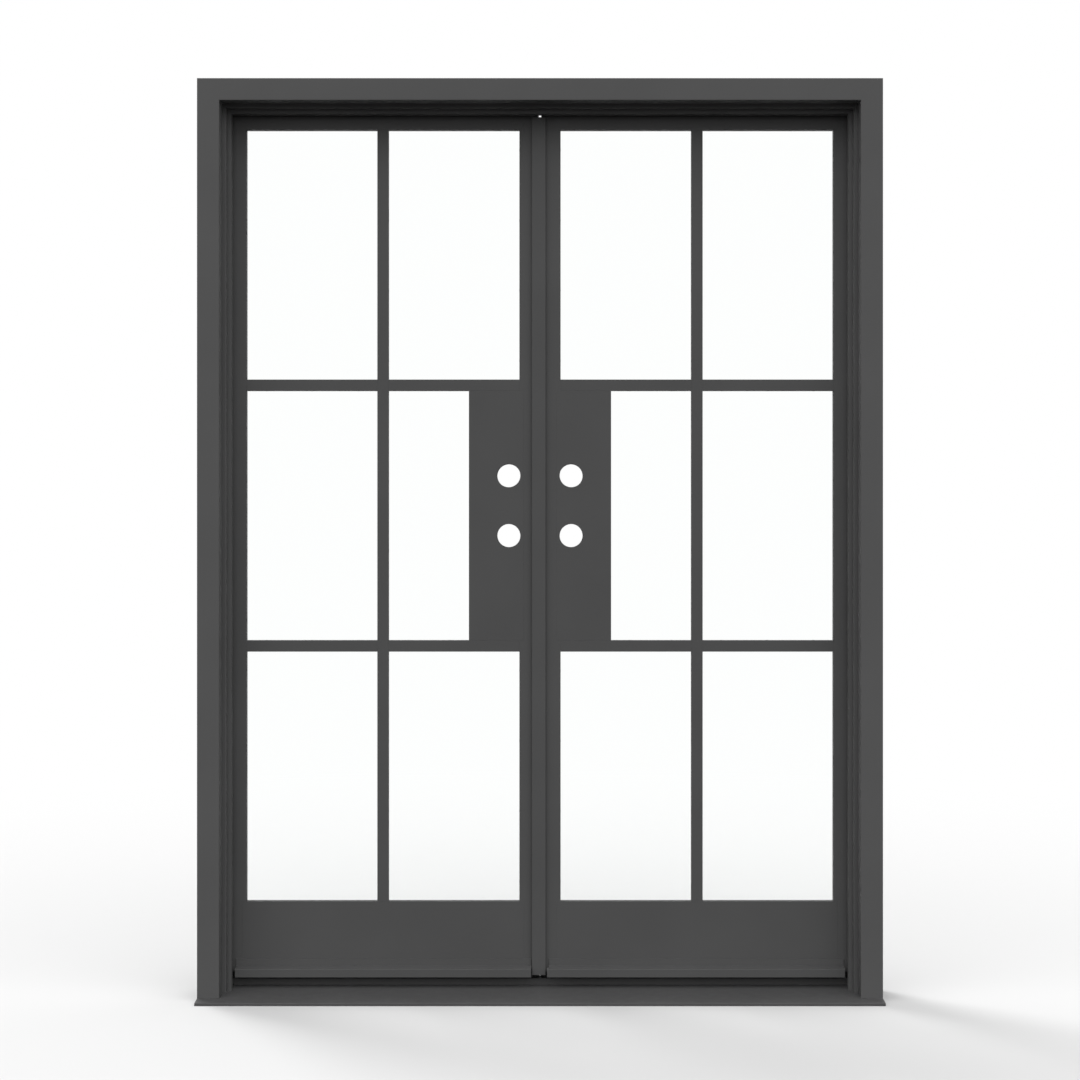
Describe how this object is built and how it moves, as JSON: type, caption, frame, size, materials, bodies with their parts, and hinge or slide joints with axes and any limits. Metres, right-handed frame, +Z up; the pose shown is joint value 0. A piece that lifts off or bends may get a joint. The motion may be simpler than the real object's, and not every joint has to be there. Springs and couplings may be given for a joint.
{
  "type": "glazed steel double door with frame",
  "caption": "Steel double door in its tube frame: divided-lite glazed leaves with kick panels, lock boxes with lock bores, drip rails, an astragal and a sloped sill; opens inward.",
  "frame": {"origin": "on the floor under the sill, at mid width and mid depth of the frame", "axes": "+X to the right seen from the street side, +Y from the street side to the room side, +Z up"},
  "size_m": [1.562, 0.2105, 2.104],
  "materials": {
    "paint": "satin charcoal paint on steel",
    "hinge_paint": "satin charcoal paint on turned and plate steel",
    "bare_steel": "turned, zinc-bright steel",
    "glass": "clear float glass",
    "rubber": "black extruded rubber"
  },
  "bodies": {
    "frame": {"frame_seal": "rubber", "head": "paint", "head_stop": "paint", "hinge_pins": "bare_steel", "hinge_washers": "bare_steel", "left_hinge_1_frame_half": "hinge_paint", "left_hinge_2_frame_half": "hinge_paint", "left_hinge_3_frame_half": "hinge_paint", "left_jamb": "paint", "left_stop": "paint", "right_hinge_1_frame_half": "hinge_paint", "right_hinge_2_frame_half": "hinge_paint", "right_hinge_3_frame_half": "hinge_paint", "right_jamb": "paint", "right_stop": "paint", "sill": "paint"},
    "right_leaf": {"right_beads": "paint", "right_cross_bars": "paint", "right_drip_rail": "paint", "right_glass_1": "glass", "right_glass_2": "glass", "right_glass_3": "glass", "right_glass_4": "glass", "right_glass_5": "glass", "right_glass_6": "glass", "right_hinge_1_leaf_half": "hinge_paint", "right_hinge_2_leaf_half": "hinge_paint", "right_hinge_3_leaf_half": "hinge_paint", "right_hinge_stile": "paint", "right_kick_panel": "paint", "right_lock_box": "paint", "right_lock_stile": "paint", "right_sweep": "rubber", "right_top_rail": "paint", "right_upright_bar": "paint"},
    "left_leaf": {"astragal": "paint", "astragal_strip": "rubber", "bolt_plates": "bare_steel", "left_beads": "paint", "left_cross_bars": "paint", "left_drip_rail": "paint", "left_glass_1": "glass", "left_glass_2": "glass", "left_glass_3": "glass", "left_glass_4": "glass", "left_glass_5": "glass", "left_glass_6": "glass", "left_hinge_1_leaf_half": "hinge_paint", "left_hinge_2_leaf_half": "hinge_paint", "left_hinge_3_leaf_half": "hinge_paint", "left_hinge_stile": "paint", "left_kick_panel": "paint", "left_lock_box": "paint", "left_lock_stile": "paint", "left_sweep": "rubber", "left_top_rail": "paint", "left_upright_bar": "paint"},
    "top_bolt": {"top_bolt": "bare_steel"},
    "bottom_bolt": {"bottom_bolt": "bare_steel"}
  },
  "joints": [
    {"name": "right_leaf_swing", "type": "hinge", "parent": "frame", "child": "right_leaf", "pos_m": [0.7282, 0.0855, 0], "axis": [0, 0, -1], "range_deg": [0, 110]},
    {"name": "left_leaf_swing", "type": "hinge", "parent": "frame", "child": "left_leaf", "pos_m": [-0.7282, 0.0855, 0], "axis": [0, 0, 1], "range_deg": [0, 104.5]},
    {"name": "top_bolt_slide", "type": "slide", "parent": "left_leaf", "child": "top_bolt", "axis": [0, 0, 1], "range_m": [0, 0.03]},
    {"name": "bottom_bolt_slide", "type": "slide", "parent": "left_leaf", "child": "bottom_bolt", "axis": [0, 0, -1], "range_m": [0, 0.03]}
  ],
  "couplings": [
    {"joint": "left_leaf_swing", "follows": "right_leaf_swing", "ratio": 0.95}
  ]
}
